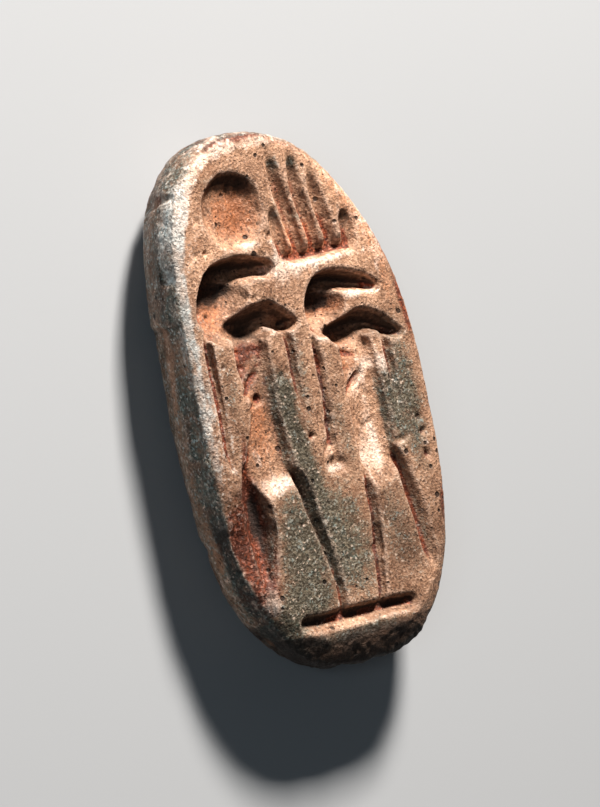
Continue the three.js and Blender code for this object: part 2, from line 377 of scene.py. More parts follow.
    def read(self, x: np.ndarray, y: np.ndarray, values: np.ndarray | None = None) -> np.ndarray:
        """Give the depths, or another map's values, at places.

        Args:
            x: Places across.
            y: Places along.
            values: The other map, laid out as this one.

        Returns:
            The depths or values there.
        """
        grid = self.depth if values is None else values
        column = np.clip((x + self.half_width) / self.step, 0, self.depth.shape[0] - 1.001)
        row = np.clip((y + self.half_length) / self.step, 0, self.depth.shape[1] - 1.001)
        i, j = column.astype(int), row.astype(int)
        u, v = column - i, row - j
        near = grid[i, j] * (1 - v) + grid[i, j + 1] * v
        far = grid[i + 1, j] * (1 - v) + grid[i + 1, j + 1] * v
        return near * (1 - u) + far * u


Stations = tuple[tuple[float, ...], ...]


@dataclass(frozen=True)
class Figure:
    """One carved figure: where its feet stand, and its cuts as shares of its breadth and height.

    Each station is a share of the breadth across from its axis, of the height up from its feet, of the
    breadth for its half width, of the deepest cut, and of the half width for the lean of its floor.
    """

    height: float
    breadth: float
    x: float
    y: float
    crown: Stations
    cheek: Stations
    chin: Stations
    body: Stations
    shin: Stations
    heel: Stations
    deepest: float = 1.05
    crease: Stations = (
        (-0.11, 0.623, 0.014, 0.45, 0),
        (-0.02, 0.645, 0.024, 0.56, 0),
        (0.06, 0.67, 0.024, 0.6, 0),
        (0.13, 0.677, 0.014, 0.45, 0),
    )
    spine: Stations = (
        (-0.35, 0.81, 0.016, 0.3, 0),
        (-0.355, 0.74, 0.03, 0.52, 0.2),
        (-0.36, 0.66, 0.026, 0.46, 0.2),
        (-0.374, 0.577, 0.022, 0.4, 0.2),
        (-0.38, 0.506, 0.02, 0.36, 0),
        (-0.365, 0.44, 0.016, 0.15, 0),
    )
    arm: Stations = (
        (0.43, 0.79, 0.03, 0.55, -0.2),
        (0.435, 0.719, 0.028, 0.48, -0.2),
        (0.43, 0.633, 0.022, 0.38, 0),
        (0.44, 0.54, 0.014, 0.12, 0),
    )

    def stroke(self, shares: Stations, wall_curve: float = 1.5, floor_share: float = 0.45) -> Stroke:
        """Turn one cut's shares into a stroke in millimetres."""
        return Stroke(
            tuple(
                (
                    self.x + across * self.breadth,
                    self.y + up * self.height,
                    half * self.breadth,
                    depth * self.deepest,
                    lean,
                )
                for across, up, half, depth, lean in shares
            ),
            wall_curve=wall_curve,
            floor_share=floor_share,
        )

    def carve(self, relief: Relief) -> None:
        """Press all the figure's cuts into the face."""
        relief.press(self.stroke(self.cheek, wall_curve=1.8))
        relief.press(self.stroke(self.body, floor_share=0.85))
        for cut in (self.crown, self.chin, self.crease, self.spine, self.arm, self.shin, self.heel):
            relief.press(self.stroke(cut))


@dataclass
class Carving:
    """Everything that is carved on the face, in millimetres."""

    left: Figure = Figure(
        height=14.049,
        breadth=4.9959,
        x=-2.9952,
        y=-8.106,
        crown=(
            (-0.285, 0.83, 0.12, 0.85, 0.3),
            (-0.2, 0.88, 0.17, 1, 0.3),
            (-0.08, 0.926, 0.175, 1, 0.4),
            (0.1, 0.95, 0.125, 1, 0.3),
            (0.22, 0.955, 0.08, 0.95, 0.1),
            (0.33, 0.948, 0.064, 0.85, 0),
            (0.42, 0.936, 0.045, 0.55, 0),
        ),
        cheek=(
            (-0.04, 0.933, 0.19, 1, -0.1),
            (-0.08, 0.89, 0.22, 1, -0.2),
            (-0.14, 0.855, 0.22, 0.88, -0.3),
            (-0.2, 0.819, 0.17, 0.68, -0.4),
            (-0.25, 0.787, 0.11, 0.4, -0.4),
        ),
        chin=(
            (-0.18, 0.812, 0.016, 0.28, 0),
            (-0.06, 0.806, 0.088, 0.8, 0.1),
            (0.08, 0.804, 0.13, 0.98, -0.1),
            (0.2, 0.813, 0.128, 0.98, -0.3),
            (0.32, 0.823, 0.09, 0.88, -0.4),
            (0.43, 0.796, 0.084, 0.76, -0.3),
            (0.54, 0.783, 0.03, 0.5, 0),
        ),
        body=(
            (0.05, 0.79, 0.13, 0.75, 0),
            (0.05, 0.75, 0.155, 0.52, 0),
            (0.05, 0.69, 0.16, 0.36, 0),
            (0.065, 0.63, 0.135, 0.32, 0),
            (0.065, 0.59, 0.12, 0.3, 0),
            (0.04, 0.534, 0.155, 0.34, 0),
            (0.005, 0.448, 0.215, 0.38, 0),
            (-0.01, 0.391, 0.23, 0.36, 0),
            (0.01, 0.349, 0.2, 0.05, 0),
        ),
        shin=(
            (0.19, 0.41, 0.02, 0.3, 0),
            (0.265, 0.356, 0.045, 0.52, -0.1),
            (0.32, 0.28, 0.046, 0.55, -0.2),
            (0.365, 0.2, 0.036, 0.5, -0.2),
            (0.415, 0.09, 0.026, 0.42, -0.1),
            (0.43, -0.014, 0.026, 0.42, 0),
        ),
        heel=(
            (-0.23, 0.442, 0.04, 0.33, 0.3),
            (-0.23, 0.385, 0.09, 0.6, 0.5),
            (-0.22, 0.32, 0.124, 0.8, 0.5),
            (-0.22, 0.235, 0.12, 0.78, 0.5),
            (-0.24, 0.171, 0.09, 0.55, 0.4),
            (-0.26, 0.121, 0.06, 0.2, 0.2),
        ),
    )
    right: Figure = Figure(
        height=12.852,
        breadth=4.5747,
        x=2.0475,
        y=-8.295,
        crown=(
            (-0.275, 0.865, 0.09, 0.65, 0.3),
            (-0.235, 0.91, 0.122, 0.95, 0.4),
            (-0.13, 0.94, 0.142, 1, 0.4),
            (0.033, 0.955, 0.104, 1, 0.3),
            (0.186, 0.949, 0.078, 0.95, 0.1),
            (0.318, 0.937, 0.062, 0.8, 0),
            (0.449, 0.918, 0.04, 0.5, 0),
        ),
        cheek=(
            (-0.13, 0.933, 0.19, 1, 0),
            (-0.15, 0.894, 0.2, 0.98, 0),
            (-0.2, 0.859, 0.17, 0.85, -0.2),
            (-0.28, 0.825, 0.1, 0.5, -0.3),
        ),
        chin=(
            (-0.196, 0.826, 0.02, 0.3, 0),
            (-0.076, 0.805, 0.092, 0.85, 0.1),
            (0.077, 0.806, 0.122, 1, -0.1),
            (0.23, 0.822, 0.11, 0.95, -0.3),
            (0.383, 0.81, 0.08, 0.75, -0.4),
            (0.514, 0.78, 0.064, 0.6, -0.3),
            (0.613, 0.757, 0.03, 0.3, 0),
        ),
        body=(
            (0.066, 0.795, 0.12, 0.65, 0),
            (0.088, 0.747, 0.17, 0.42, 0),
            (0.09, 0.692, 0.19, 0.27, 0),
            (0.088, 0.63, 0.195, 0.26, 0),
            (0.088, 0.552, 0.203, 0.3, 0),
            (0.088, 0.474, 0.208, 0.32, 0),
            (0.08, 0.404, 0.208, 0.27, 0),
            (0.06, 0.346, 0.16, 0.04, 0),
        ),
        shin=(
            (0.225, 0.46, 0.02, 0.24, 0),
            (0.305, 0.392, 0.044, 0.44, -0.2),
            (0.365, 0.316, 0.058, 0.46, -0.4),
            (0.41, 0.226, 0.07, 0.42, -0.5),
            (0.445, 0.12, 0.07, 0.34, -0.5),
            (0.455, 0.04, 0.05, 0.1, 0),
        ),
        heel=(
            (-0.09, 0.391, 0.022, 0.25, 0.2),
            (-0.085, 0.334, 0.036, 0.45, 0.2),
            (-0.09, 0.256, 0.036, 0.46, 0.2),
            (-0.117, 0.179, 0.042, 0.48, 0.2),
            (-0.16, 0.101, 0.036, 0.42, 0.2),
            (-0.212, -0.008, 0.028, 0.38, 0),
        ),
    )
    flute_tops: Stations = ((-0.28, 7.35), (-0.02, 9.35), (0.99, 9.16), (1.95, 8.44), (3.25, 6.594))
    flute_half: float = 0.3
    flute_depth: float = 0.42
    flute_lean: float = -0.3
    sill_left: tuple[float, float] = (-0.05, 5.355)
    sill_right: tuple[float, float] = (3.346, 5.355)
    ground_left: tuple[float, float] = (-3.1, -8.316)
    ground_right: tuple[float, float] = (2.796, -8.715)
    ground_half: float = 0.29
    ground_depth: float = 0.42
    ground_lean: float = 0.4
    joint: Stations = (
        (0.32, -1.0, 0.16, 0.36, 0.2),
        (0.2, -1.7, 0.14, 0.3, 0.2),
        (-0.08, -2.2, 0.13, 0.26, 0),
        (-0.38, -2.7, 0.1, 0.1, 0),
    )
    facet: Stations = (
        (-0.42, -2.75, 0.12, 0.05, 0.5),
        (0, -2.82, 0.36, 0.2, 0.6),
        (0.45, -2.86, 0.36, 0.18, 0.6),
        (0.85, -2.9, 0.15, 0.03, 0.5),
    )
    scratches: Stations = (
        (-3.5, 2.38, -2.85, 2.2, 0.1, 0.18),
        (-2.6, 2.3, -1.9, 2.2, 0.08, 0.12),
        (-3.4, 1.78, -2.95, 1.72, 0.09, 0.16),
        (-2.65, 1.62, -2.2, 1.66, 0.07, 0.1),
        (-3.6, -0.02, -2.9, 0.32, 0.08, 0.2),
        (1.6, 1.42, 2.75, 1.0, 0.13, 0.2),
        (1.6, 0.72, 2.25, 0.6, 0.09, 0.14),
        (1.75, 0.1, 2.5, 0.2, 0.07, 0.08),
        (2.75, -1.35, 2.2, -1.85, 0.1, 0.12),
        (3.3, -2.5, 4.2, -2.45, 0.12, 0.14),
        (4.7, -2.5, 5.1, -2.35, 0.14, 0.2),
        (4.75, -1.7, 4.95, -2.0, 0.14, 0.2),
        (4.75, -3.1, 5.0, -3.6, 0.14, 0.22),
        (0.3, -0.6, 0.65, -0.75, 0.08, 0.14),
        (0.2, -1.05, 0.6, -1.2, 0.08, 0.14),
        (-0.85, -1.45, -0.5, -1.5, 0.1, 0.16),
        (0.9, -6.45, 1.75, -6.1, 0.09, 0.14),
    )
    pores: Stations = (
        (-4.55, 8.4, 0.1, 0.2),
        (-3.95, 8.5, 0.08, 0.16),
        (-3.85, 8.2, 0.08, 0.18),
        (-4.25, 7.55, 0.09, 0.18),
        (-4.1, 7.4, 0.11, 0.2),
        (-4.5, 7.0, 0.08, 0.15),
        (-4.0, 6.2, 0.13, 0.24),
        (-4.45, 6.2, 0.1, 0.18),
        (-0.7, 6.3, 0.16, 0.24),
        (-1.25, 6.85, 0.1, 0.16),
        (-1.3, 5.7, 0.09, 0.18),
        (-0.5, 2.85, 0.22, 0.4),
        (-2.1, 4.15, 0.12, 0.22),
        (-2.42, 4.25, 0.11, 0.18),
        (-2.08, 4.82, 0.1, 0.2),
        (-3.2, 4.05, 0.1, 0.16),
        (-3.85, 3.8, 0.13, 0.2),
        (-4.55, 4.0, 0.09, 0.14),
        (-2.7, 0.42, 0.22, 0.3),
        (-1.55, 1.05, 0.13, 0.22),
        (-0.75, -1.45, 0.12, 0.22),
        (-1.75, -0.5, 0.1, 0.16),
        (-4.3, 1.9, 0.12, 0.18),
        (-2.1, -4.6, 0.08, 0.14),
        (-1.3, -7.9, 0.08, 0.14),
        (1.15, -6.2, 0.1, 0.16),
        (0.35, -5.2, 0.08, 0.12),
        (3.35, -4.7, 0.1, 0.14),
        (2.1, -5.4, 0.09, 0.14),
        (0.9, -0.9, 0.09, 0.16),
    )

    def carve(self, relief: Relief) -> None:
        """Carve the whole face.

        Args:
            relief: The map that is carved.
        """
        relief.bowl(-2.25, 7.55, (1.46, 1.48), 0.56, 5.0, tip=0.1)
        self.carve_fan(relief)
        self.left.carve(relief)
        self.right.carve(relief)
        self.carve_ground(relief)
        for rows in (self.joint, self.facet):
            relief.press(Stroke(rows, wall_curve=1.0))
        relief.bowl(-4.996, -4.893, (1.1, 2.2), 0.42, 2.0)
        relief.soften(0.065)
        for x0, y0, x1, y1, half, depth in self.scratches:
            middle = ((x0 + x1) / 2, (y0 + y1) / 2)
            rows = ((x0, y0, half / 2, depth / 3, 0), (*middle, half, depth, 0), (x1, y1, half / 2, depth / 3, 0))
            relief.press(Stroke(rows, CutMode.DEEPEN))
        streaks = soft_noise(relief.places * np.array([1, 0.16, 1]), 0.17, 71)
        inside = smooth_step(np.hypot(relief.x + 2.2, relief.y - 7.5), 1.25, 0.9)
        relief.depth = relief.depth + 0.1 * streaks * inside
        relief.soften(0.03)
        for x, y, radius, depth in self.pores:
            relief.pit(x, y, radius, depth)

    def carve_fan(self, relief: Relief) -> None:
        """Carve the slanting flutes and the sill across their feet."""
        last = len(self.flute_tops) - 1
        for i, (top_x, top_y) in enumerate(self.flute_tops):
            foot_x = self.sill_left[0] + (self.sill_right[0] - self.sill_left[0]) * i / last
            foot_y = self.sill_left[1]
            shoulder = (top_x + (foot_x - top_x) * 0.3, top_y + (foot_y - top_y) * 0.3)
            rows = (
                (top_x, top_y, self.flute_half * 0.3, self.flute_depth * 0.3, 0),
                (*shoulder, self.flute_half, self.flute_depth * 0.9, self.flute_lean),
                (foot_x, foot_y, self.flute_half, self.flute_depth, self.flute_lean),
            )
            relief.press(Stroke(rows))
        sill = (
            (*self.sill_left, self.flute_half, self.flute_depth, -0.3),
            (*self.sill_right, self.flute_half, self.flute_depth, -0.3),
        )
        relief.press(Stroke(sill))

    def carve_ground(self, relief: Relief) -> None:
        """Carve the ground line, full size but for its two tips."""
        left, right = np.array(self.ground_left), np.array(self.ground_right)
        rows = []
        for along, fullness in ((0, 0.3), (0.1, 1), (0.9, 1), (1, 0.3)):
            place = left + (right - left) * along
            size = (self.ground_half * fullness, self.ground_depth * fullness)
            rows.append((*place, *size, self.ground_lean))
        relief.press(Stroke(tuple(rows)))


@dataclass(frozen=True)
class Patch:
    """A soft oval of some tone on the face, in millimetres."""

    x: float
    y: float
    width: float
    length: float
    strength: float
    turn: float = 0.0

    def cover(self, x: np.ndarray, y: np.ndarray) -> np.ndarray:
        """Give how strongly it covers places."""
        cos, sin = math.cos(math.radians(self.turn)), math.sin(math.radians(self.turn))
        across = ((x - self.x) * cos + (y - self.y) * sin) / (self.width / 2)
        along = ((y - self.y) * cos - (x - self.x) * sin) / (self.length / 2)
        return self.strength * np.exp(-((across**2 + along**2) ** 1.2))


def patches(rows: Stations) -> tuple[Patch, ...]:
    """Make patches from rows of numbers."""
    return tuple(Patch(*row) for row in rows)


@dataclass(frozen=True)
class Tones:
    """Where the glaze, the bare red body, the pale deposits and the orange tone lie, and where highlights, light and
    shade are painted on.
    """

    green: tuple[Patch, ...] = patches(
        (
            (-2.3, -5.6, 3, 6, 0.9),
            (-1, -4.2, 0.9, 5, 0.75, 12),
            (0.2, -5.6, 2.2, 5.5, 0.75, 6),
            (-3.6, 8.9, 1.4, 1, 0.35),
            (-0.6, 1, 0.9, 4, 0.5),
            (-2.2, 8.7, 1.8, 0.6, 0.5),
            (-1.5, -1, 1.1, 4.4, 0.8, 10),
            (-1.5, 0.3, 0.9, 1, 0.6),
            (-4.2, 1, 1, 4.5, 0.4),
            (3.6, -1, 1.1, 4, 0.75),
            (3.7, 2, 2.2, 1, 0.4, -25),
            (0.9, -1.6, 1, 4, 0.45, 10),
            (-2.9, -7.6, 2.6, 1.4, 0.8),
            (-1.7, 0.5, 0.9, 2, 0.5),
            (2.3, -4.6, 1.6, 1.6, 0.3),
            (-5.6, 2, 1, 12, 0.3),
            (0.2, 8.9, 0.6, 0.7, 0.7),
            (1.15, 8.85, 0.6, 0.7, 0.7),
            (0.95, 6.8, 0.7, 0.4, 0.7),
            (-0.1, 7, 0.5, 0.5, 0.6),
            (3.3, 6.3, 0.5, 0.7, 0.6),
            (4.6, -1, 1.4, 6, 0.8),
            (3, -6.2, 3, 3.6, 0.45),
            (-0.2, -9.15, 6.5, 0.7, 0.6),
            (-3.6, -8.4, 1.6, 1.4, 0.6),
        )
    )
    red: tuple[Patch, ...] = patches(
        (
            (-5, -4.6, 2.6, 4.6, 0.95, -4),
            (-4.6, -6.9, 1.8, 2.2, 0.85, 20),
            (-4, -3.4, 1.2, 3.4, 0.8),
            (-3.9, -5, 1, 2.6, 0.8),
            (-1.6, 10.6, 3.6, 0.9, 0.7),
            (0.45, 7.6, 0.4, 3.4, 0.4, 8),
            (1.2, 7.4, 0.4, 3.4, 0.4, 8),
            (2.3, 6.3, 1.6, 1.6, 0.4),
            (1.6, 5.6, 3.2, 0.7, 0.5),
            (5.2, 1.5, 0.7, 6, 0.5, 6),
            (4.7, 5.4, 0.5, 3.4, 0.8, 25),
            (5.3, 2.6, 0.4, 3, 0.8, 8),
            (5.3, -5.2, 0.4, 2, 0.8, -8),
            (0.75, 0.2, 1, 4.6, 0.45),
            (-4.3, 0.4, 0.8, 4.4, 0.35),
            (-2.9, 0.9, 1.4, 1.4, 0.35),
            (1.9, 3.3, 1.8, 0.5, 0.4, 20),
            (2.9, -5.4, 1.6, 4, 0.35),
            (-2.6, 2.3, 2, 0.9, 0.8),
            (-3, 1.6, 1.8, 1.8, 0.5),
            (-3, -1.2, 1.6, 2.6, 0.25),
            (-1.2, 10.3, 4.4, 0.5, 0.5, 3),
            (-4.4, 3.4, 1, 1.2, 0.5),
            (0.6, 2.7, 0.8, 0.9, 0.5),
            (2.1, 1.2, 1.4, 0.9, 0.5),
            (-4.1, -1.6, 0.5, 2.4, 0.5, -8),
            (1.55, -4.6, 0.5, 2.6, 0.6),
            (1.3, -6.6, 0.5, 2.4, 0.6),
            (-1.2, -8.45, 0.7, 0.4, 0.6),
            (0.45, -8.5, 0.7, 0.4, 0.6),
            (3.2, -6, 2, 3.6, 0.2),
            (5, -5.6, 0.5, 2.2, 0.5, -10),
        )
    )
    # Pale crust, and painted highlights: the left bevel and the top rim, and lips that face the key lamp, such as the
    # sill under the flutes and the ends of the laps.
    pale: tuple[Patch, ...] = patches(
        (
            (-5, 7.8, 1.5, 3.6, 0.7, -30),
            (-5.35, 4, 0.5, 7, 0.55, 2),
            (-5.4, -0.8, 0.7, 5, 0.45),
            (-2, 9.75, 5, 0.6, 0.4, 4),
            (-4.25, -7.1, 0.8, 1.2, 0.8),
            (0.15, -2.85, 1.1, 0.5, 0.85),
            (-2.7, -2.9, 1.9, 0.8, 0.85),
            (-3, -1.6, 1.4, 1.8, 0.45),
            (2.4, -0.6, 1.5, 3.8, 0.55),
            (2.4, -2.9, 1.5, 2, 0.75),
            (3.5, 0.6, 1.5, 0.8, 0.8, -20),
            (2.9, 3.4, 1, 0.5, 0.8),
            (3.9, 3.35, 0.9, 0.35, 0.7),
            (2.1, 4.93, 4.6, 0.4, 0.5),
            (0.6, 4.8, 5, 1.2, 0.35),
            (-1.7, 6.1, 2.4, 0.4, 0.6),
            (-0.8, 4.4, 1.6, 1.6, 0.4),
            (-1.5, 2.8, 0.5, 0.7, 0.6),
            (3.7, 7, 2, 4, 0.4, 35),
            (4.4, 4.6, 0.8, 2.4, 0.5, 10),
            (-0.4, 5.4, 1.2, 1.4, 0.5),
            (-0.5, 8.6, 0.9, 1.6, 0.35),
            (0.75, 2.05, 0.9, 0.3, 0.7, -15),
            (-3.1, 1.3, 0.8, 0.5, 0.6, 30),
            (-4.8, -2, 0.5, 0.3, 0.7, -30),
            (4.85, -2.9, 0.5, 0.3, 0.8),
            (3.75, -2.65, 0.8, 0.25, 0.5),
            (5, -6, 0.4, 2.6, 0.5, -12),
            (0.3, 1.9, 0.5, 2.4, 0.2),
        )
    )
    # Painted shade and shadows, such as the shadows in the crowns, the chins and the disc's top, the dark ground line
    # and heel groove, and the darker foot end.
    dark: tuple[Patch, ...] = patches(
        (
            (0, -10, 6, 1.5, 0.8),
            (-2.3, -8.3, 1.7, 0.35, 1, -4),
            (-0.35, -8.42, 0.9, 0.35, 1, -4),
            (1.7, -8.56, 2, 0.35, 1, -4),
            (-5.2, -4.4, 0.9, 2.6, 0.35),
            (-4.6, -6, 0.8, 1.4, 0.3),
            (-1.6, -0.6, 0.8, 4, 0.25, 10),
            (3.4, -1, 0.7, 2.4, 0.3),
            (-0.25, -4, 0.6, 4, 0.2, 8),
            (-3, -9.5, 3, 1.4, 0.6, -30),
            (5, -7.4, 0.8, 3, 0.4),
            (-3.3, 4.55, 2, 0.8, 0.6, 22),
            (1.75, 3.45, 1.5, 0.8, 0.6, 15),
            (-2.35, 2.8, 1.5, 0.5, 0.8),
            (-4.3, -8.3, 1.6, 1.2, 0.7),
            (-1.35, 8.45, 0.9, 0.5, 0.6),
            (-2.4, 8.75, 1.6, 0.35, 0.4),
            (4.4, -2, 1.6, 6, 0.22),
            (-3.2, -4.9, 0.4, 2.4, 0.3),
            (-1.5, 8.75, 1.8, 0.7, 0.5, -15),
            (-3.75, -4.4, 0.5, 3.2, 0.6),
            (-5.9, -4.6, 0.8, 4.5, 0.5, -6),
        )
    )
    # Painted light and shade: patches that make the colour lighter where lips, facets and the upper face catch the key
    # lamp, and darker in shaded cuts and on shaded walls.
    light: tuple[Patch, ...] = patches(
        (
            (-4, 6.4, 1.6, 2.6, 0.2),
            (-1.2, 6.2, 1.4, 1.6, 0.12),
            (2.4, 5, 5, 0.9, 0.1),
            (4, 6.6, 1.8, 4.4, 0.28, 35),
            (1.9, 4.55, 3, 0.5, 0.1),
            (-3.2, 9.2, 1.6, 1, 0.1),
            (4.3, 4.6, 1, 2.4, 0.15),
            (-2.4, -4.6, 2.2, 0.9, -0.1),
            (0.3, -3.9, 1.6, 0.8, 0.1),
            (-0.7, 1.2, 0.7, 3, -0.1),
            (2.9, -6.9, 2, 1.4, -0.08),
            (-5.2, 4, 0.8, 8, -0.08),
            (-1.1, 3.9, 1.8, 0.8, 0.06),
            (3.2, -2.45, 1.6, 0.5, 0.1),
            (2.2, 9.2, 2.6, 1.2, 0.3, -35),
            (-1.9, 7.3, 2.6, 2.4, -0.26),
            (-2.2, 6.25, 1.8, 0.3, 0.25),
            (-2.1, 7.6, 0.35, 1.4, 0.15),
            (-2.6, 7.3, 0.3, 1.6, 0.12),
            (-1.5, 7.2, 0.3, 1.2, 0.1),
            (0.35, 6, 0.6, 1.6, 0.3, 6),
            (1.25, 6.15, 0.7, 0.9, 0.35),
            (0.3, 8.9, 0.6, 0.8, -0.3),
            (1.2, 8.8, 0.6, 0.8, -0.3),
            (3.4, 6.3, 0.6, 0.8, -0.35),
            (0.2, 5.35, 0.35, 0.3, -0.3),
            (1.1, 5.3, 0.35, 0.3, -0.35),
            (1.95, 5.28, 0.35, 0.3, -0.35),
            (2.8, 5.3, 0.35, 0.3, -0.35),
            (-2.7, 1.4, 1.6, 2.6, -0.25),
            (-4.3, 0.8, 1, 5, -0.2),
            (-1.4, -0.4, 1.2, 5, -0.25, 10),
            (-2.15, -0.4, 0.5, 4.4, -0.2, 8),
            (-2.7, -1.6, 1.5, 2.2, 0.22),
            (-2.4, -5.6, 2.8, 5.2, -0.1),
            (2.4, -0.6, 1.6, 3.6, 0.2),
            (2.4, -2.8, 1.7, 1.8, 0.25),
            (2.6, -5.8, 2.4, 4.4, -0.25),
            (0.7, -0.2, 1.3, 4.2, -0.18),
            (4.6, -0.5, 1.4, 7, -0.15),
            (4.7, -6, 1, 3.4, -0.15),
            (-5, -4.6, 2.2, 5, -0.3),
            (-5.4, 4.6, 0.8, 6, -0.12),
            (-4.9, -8, 2, 2, -0.15),
            (-0.2, -8.85, 5.5, 0.25, 0.3, -4),
            (-3.9, 3.4, 0.8, 1.2, -0.1),
            (-5.9, 3, 0.7, 10, -0.1),
            (0.4, -4.6, 1.8, 5, 0.02, 8),
            (-2.3, 2.8, 2, 0.6, -0.3),
            (2.7, 2, 3.4, 0.5, -0.35, -12),
            (3.6, 1.1, 1.6, 0.8, 0.25, -20),
            (3.5, -0.6, 0.7, 2.8, -0.25),
            (-0.5, 2.4, 0.8, 1.8, -0.1),
            (3.4, 3.45, 1.8, 0.4, 0.25),
            (-2, 4.6, 2, 1, -0.05),
        )
    )
    ochre: tuple[Patch, ...] = patches(
        (
            (-1.9, 7.3, 2.6, 2.4, 0.9),
            (-3.9, 3.9, 1.6, 2, 0.7),
            (-2.9, 1, 1.4, 3, 0.5),
            (-3, -1, 1.7, 3, 0.55),
            (2.1, 0.9, 1.4, 2, 0.5),
            (0.35, 6, 0.6, 1.6, 1.2, 6),
            (1.25, 6.15, 0.7, 0.9, 1.2),
            (2.1, 6, 0.5, 1.2, 0.7),
            (2, 3.2, 2.4, 0.8, 0.6),
            (2.7, 8, 1, 1.6, 0.5, 30),
            (4, 6.2, 1.4, 4, 0.7, 32),
            (4.6, 3.4, 0.9, 3, 0.6, 8),
            (4.2, -5.2, 0.7, 3.2, 0.4, 10),
        )
    )


@dataclass
class Amulet:
    """The amulet's one body: the carved, weathered plaque with the hole for a cord along it."""

    plaque: Plaque = field(default_factory=Plaque)
    carving: Carving = field(default_factory=Carving)
    tones: Tones = field(default_factory=Tones)
    coarse_step: float = 0.09
    fine_step: float = 0.07
    most_triangles: int = 190_000

    def build(self) -> bpy.types.Object:
        """Shape the body.

        Returns:
            The finished mesh object, in millimetres about the drawing's middle.
        """
        relief = Relief()
        self.carving.carve(relief)
        body = self.blank()
        self.drill(body)
        self.even_out(body, self.coarse_step)
        self.carve(body, relief)
        self.even_out(body, self.fine_step)
        self.weather(body)
        self.thin(body)
        self.paint(body, relief)
        return body

    @staticmethod
    def loft(name: str, sides: int, levels: int, ring: Callable[[int, float], Vector]) -> bpy.types.Object:
        """Extrude a disc ring by ring into a closed body.

        Args:
            name: The body's name.
            sides: How many points a ring has.
            levels: How many rings there are.
            ring: Gives a ring's point from its number and the point's angle.

        Returns:
            The closed body.
        """
        bpy.ops.object.select_all(action="DESELECT")
        bpy.ops.mesh.primitive_circle_add(vertices=sides, radius=1, fill_type="NGON")
        body = bpy.context.active_object
        body.name = name
        bpy.ops.object.mode_set(mode="EDIT")
        mesh = bmesh.from_edit_mesh(body.data)
        turn = mesh.verts.layers.float.new("turn")
        for vertex in mesh.verts:
            vertex[turn] = math.atan2(vertex.co.y, vertex.co.x)
        for level in range(levels):
            if level:
                bpy.ops.mesh.extrude_region_move()
                mesh = bmesh.from_edit_mesh(body.data)
                turn = mesh.verts.layers.float["turn"]
            for vertex in mesh.verts:
                if vertex.select:
                    vertex.co = ring(level, vertex[turn])
            bmesh.update_edit_mesh(body.data)
        bpy.ops.mesh.select_all(action="SELECT")
        bpy.ops.mesh.normals_make_consistent(inside=False)
        bpy.ops.object.mode_set(mode="OBJECT")
        return body

    def blank(self) -> bpy.types.Object:
        """Shape the uncarved plaque from its resting spot to its face."""
        plaque = self.plaque
        return self.loft("glazed_body", plaque.outline_steps, plaque.back_steps + 3, plaque.ring)

    def drill(self, body: bpy.types.Object) -> None:
        """Bore the hole for a cord, with a flared mouth at each end.

        Args:
            body: The plaque.
        """
        plaque = self.plaque
        end, throat = plaque.length / 2, plaque.length / 2 - plaque.bore_mouth_depth
        narrow, wide = plaque.bore_radius, plaque.bore_mouth_radius
        profile = ((-end - 1, wide), (-end, wide), (-throat, narrow), (throat, narrow), (end, wide), (end + 1, wide))
        swing = math.atan2(plaque.bore_foot_x - plaque.bore_head_x, plaque.length)
        middle = Vector(((plaque.bore_head_x + plaque.bore_foot_x) / 2, 0, plaque.bore_height))
        along = Vector((-math.sin(swing), math.cos(swing), 0))
        across = Vector((math.cos(swing), math.sin(swing), 0))

        def ring(level: int, angle: float) -> Vector:
            """Give a point of the drill."""
            place, radius = profile[level]
            spoke = across * math.cos(angle) + Vector((0, 0, math.sin(angle)))
            return middle + along * place + spoke * radius

        tool = self.loft("drill", 24, len(profile), ring)
        self.apply(body, "BOOLEAN", object=tool, operation="DIFFERENCE", solver="EXACT")
        bpy.data.objects.remove(tool)

    @staticmethod
    def apply(body: bpy.types.Object, kind: str, **settings: object) -> None:
        """Add one modifier and apply it.

        Args:
            body: The object that gets it.
            kind: The modifier's type.
            **settings: Its settings.
        """
        bpy.ops.object.select_all(action="DESELECT")
        body.select_set(True)
        bpy.context.view_layer.objects.active = body
        modifier = body.modifiers.new(kind.lower(), kind)
        for name, value in settings.items():
            setattr(modifier, name, value)
        bpy.ops.object.modifier_apply(modifier=modifier.name)

    def even_out(self, body: bpy.types.Object, size: float) -> None:
        """Give the body an even net of small faces."""
        self.apply(body, "REMESH", mode="VOXEL", voxel_size=size, adaptivity=0.0)

    @staticmethod
    def points(body: bpy.types.Object) -> np.ndarray:
        """Give the vertices' places as rows."""
        flat = np.empty(len(body.data.vertices) * 3, np.float32)
        body.data.vertices.foreach_get("co", flat)
        return flat.reshape(-1, 3).astype(float)

    @staticmethod
    def place(body: bpy.types.Object, points: np.ndarray) -> None:
        """Put the vertices at new places."""
        body.data.vertices.foreach_set("co", points.astype(np.float32).ravel())
        body.data.update()

    @staticmethod
    def normals(body: bpy.types.Object) -> np.ndarray:
        """Give the vertices' normals as rows."""
        flat = np.empty(len(body.data.vertices) * 3, np.float32)
        body.data.vertex_normals.foreach_get("vector", flat)
        return flat.reshape(-1, 3).astype(float)

    @staticmethod
    def pulled(body: bpy.types.Object, values: np.ndarray, rounds: int) -> np.ndarray:
        """Average values over neighbouring vertices.

        Args:
            body: The mesh that says which vertices are neighbours.
            values: One row for each vertex.
            rounds: How often to average.

        Returns:
            The averaged rows.
        """
        flat = np.empty(len(body.data.edges) * 2, np.int32)
        body.data.edges.foreach_get("vertices", flat)
        first, second = flat.reshape(-1, 2).T
        count = len(body.data.vertices)
        share = np.maximum(np.bincount(first, minlength=count) + np.bincount(second, minlength=count), 1)
        result = values.astype(float).reshape(count, -1)
        for _ in range(rounds):
            result = np.stack(
                [
                    (
                        np.bincount(first, column[second], minlength=count)
                        + np.bincount(second, column[first], minlength=count)
                    )
                    / share
                    for column in result.T
                ],
                axis=1,
            )
        return result.reshape(values.shape)

